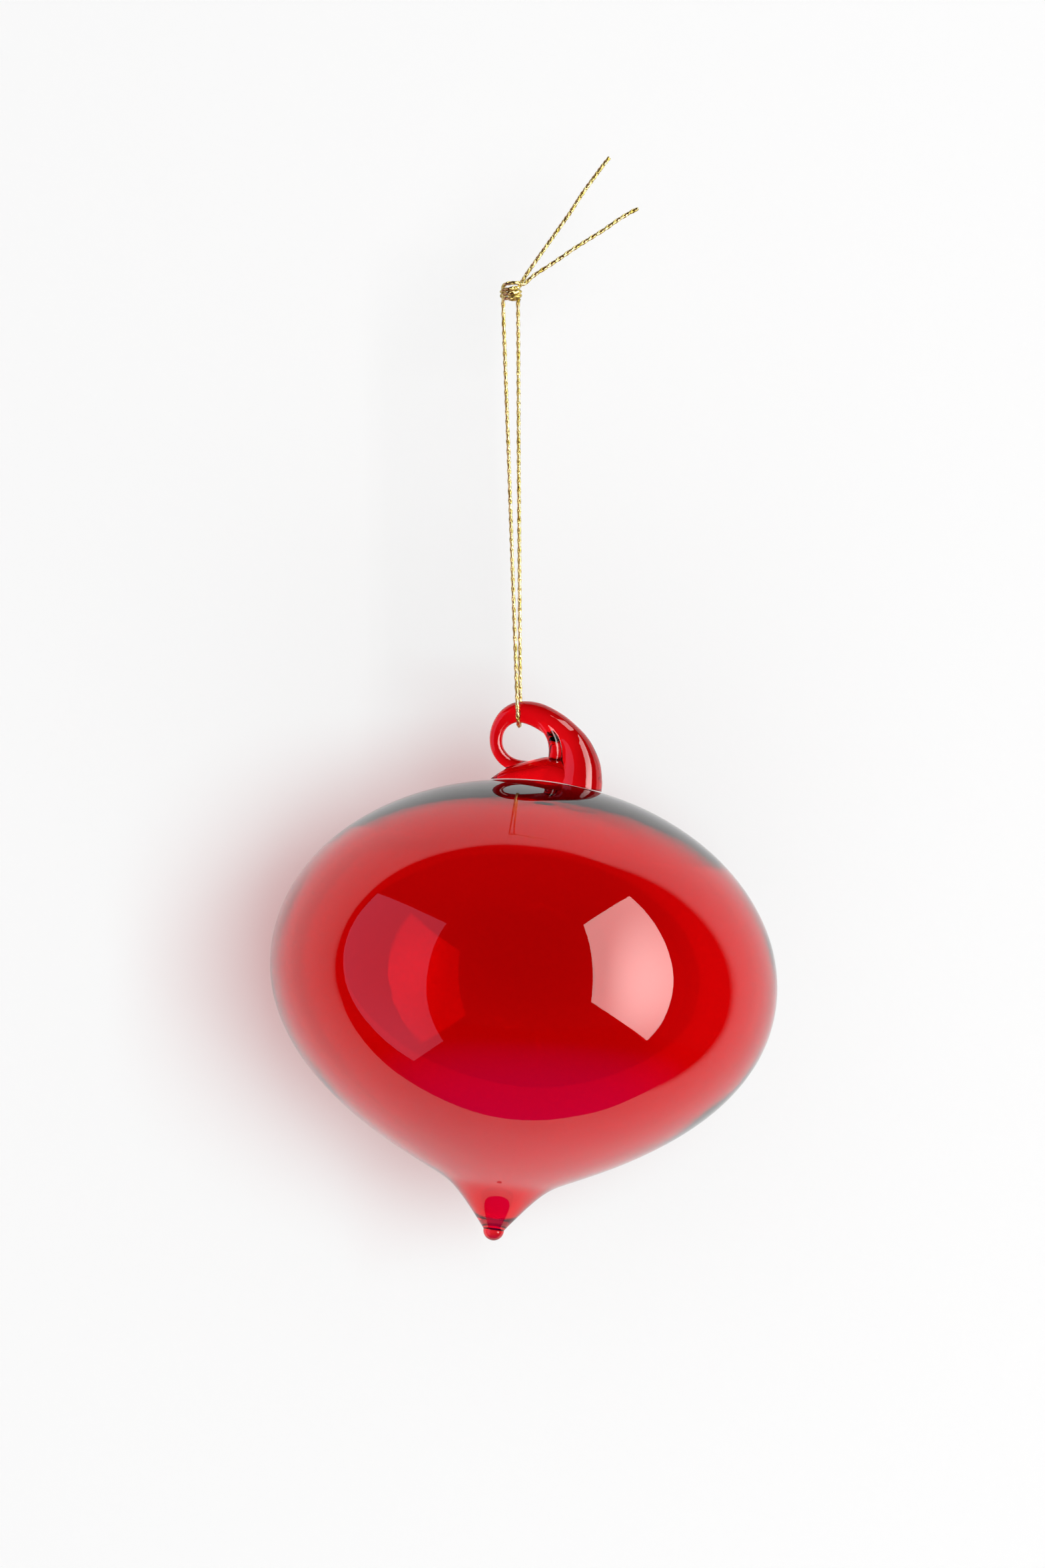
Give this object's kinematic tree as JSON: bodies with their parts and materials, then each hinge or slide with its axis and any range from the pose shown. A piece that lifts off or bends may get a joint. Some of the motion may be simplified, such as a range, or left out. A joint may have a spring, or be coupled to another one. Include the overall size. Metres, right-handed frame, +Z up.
{
  "type": "glass ball ornament",
  "caption": "Transparent ruby-red blown glass ball with a drawn tip, an applied curled glass hanging hook and a knotted loop of thin gold cord.",
  "frame": {"origin": "hanging point between the cord's two strands, just under the knot", "axes": "+Z up along the taut cord; +X to the viewer's right; -Y towards the viewer"},
  "size_m": [0.0796, 0.08, 0.1705],
  "materials": {
    "ball_glass": "clear polished blown glass",
    "hook_glass": "clear polished solid glass",
    "gold_cord": "metallic braid"
  },
  "bodies": {
    "root": {"cord_knot": "gold_cord", "cord_tail_1": "gold_cord", "cord_tail_2": "gold_cord"},
    "cord_strands": {"cord_strand_left": "gold_cord", "cord_strand_right": "gold_cord"},
    "cord_bight": {"cord_bight": "gold_cord"},
    "ornament": {"glass_ball": "ball_glass", "hanging_hook": "hook_glass"}
  },
  "joints": [
    {"name": "cord_twist", "type": "hinge", "parent": "root", "child": "cord_strands", "pos_m": [0, 0, 0], "axis": [0, 0, 1], "range_deg": [-180, 180]},
    {"name": "side_swing", "type": "hinge", "parent": "cord_strands", "child": "cord_bight", "pos_m": [0, 0, -0.0647], "axis": [0, 1, 0], "range_deg": [-40, 40]},
    {"name": "front_rock", "type": "hinge", "parent": "cord_bight", "child": "ornament", "pos_m": [0, 0, -0.0647], "axis": [1, 0, 0], "range_deg": [-90, 90]}
  ]
}
